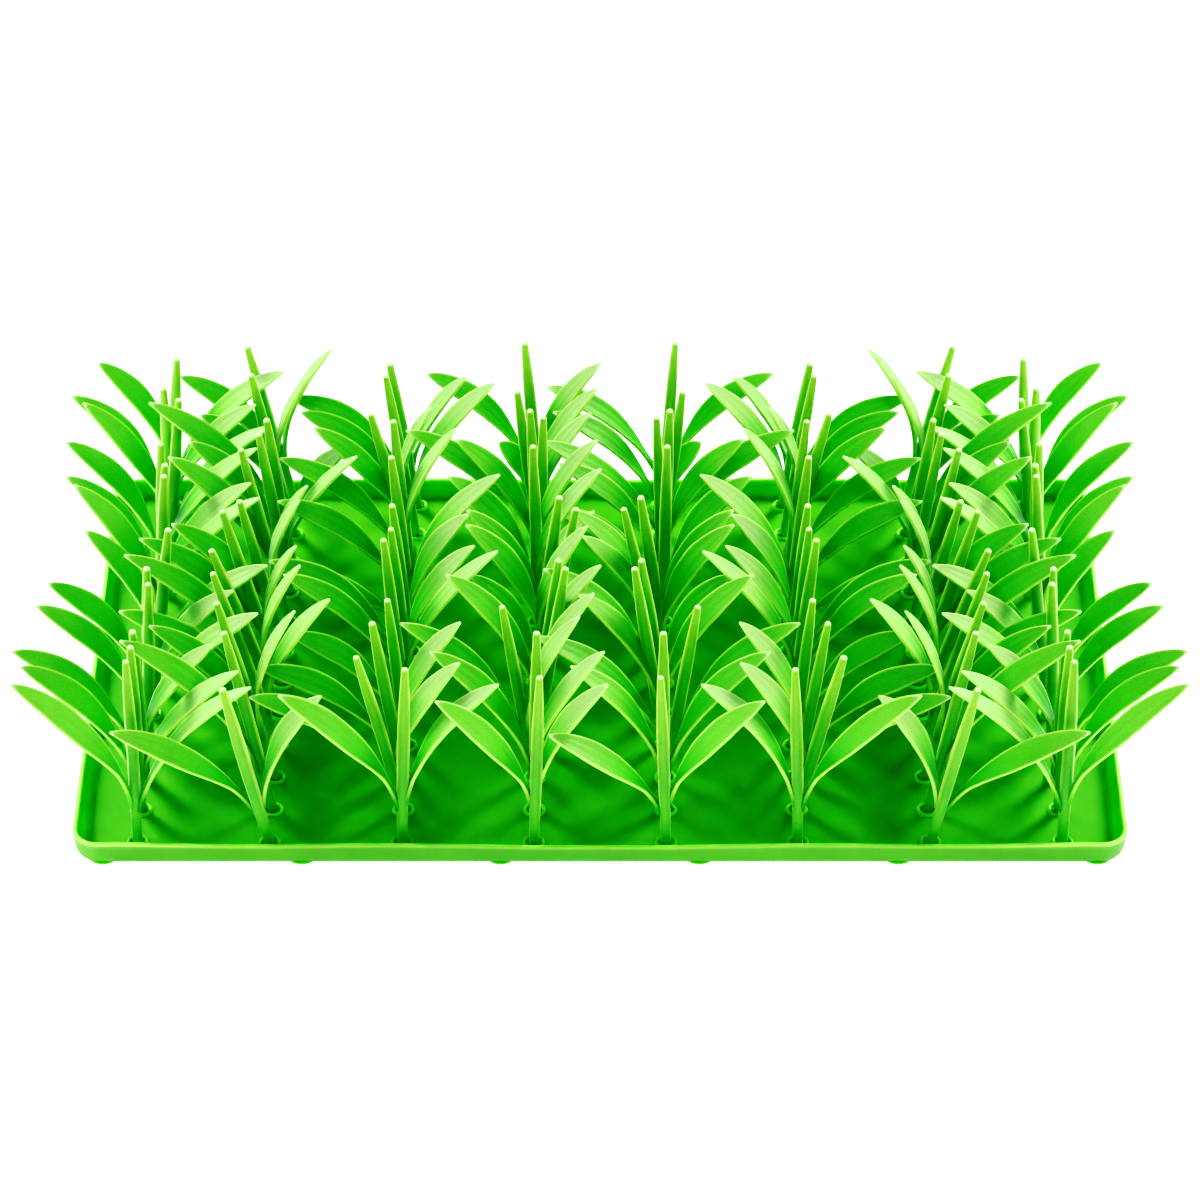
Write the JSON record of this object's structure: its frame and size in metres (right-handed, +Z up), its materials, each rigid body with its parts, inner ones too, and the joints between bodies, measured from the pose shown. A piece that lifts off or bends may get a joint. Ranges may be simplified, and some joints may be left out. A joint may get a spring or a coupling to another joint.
{
  "type": "grass lick mat",
  "caption": "Soft silicone lick mat: a shallow rimmed tray with a lawn of upright shoots and blade leaves, with food spread between them.",
  "frame": {"origin": "on the surface under the middle of the tray", "axes": "+X along the tray's length to the right, +Y from the front to the back, +Z up"},
  "size_m": [0.3356, 0.18, 0.0674],
  "materials": {
    "tray": "satin",
    "sprigs": "satin"
  },
  "bodies": {
    "root": {"tray": "tray", "sprigs_1": "sprigs", "sprigs_2": "sprigs", "sprigs_3": "sprigs", "sprigs_4": "sprigs", "sprigs_5": "sprigs", "sprigs_6": "sprigs", "sprigs_7": "sprigs", "sprigs_8": "sprigs"}
  },
  "joints": []
}
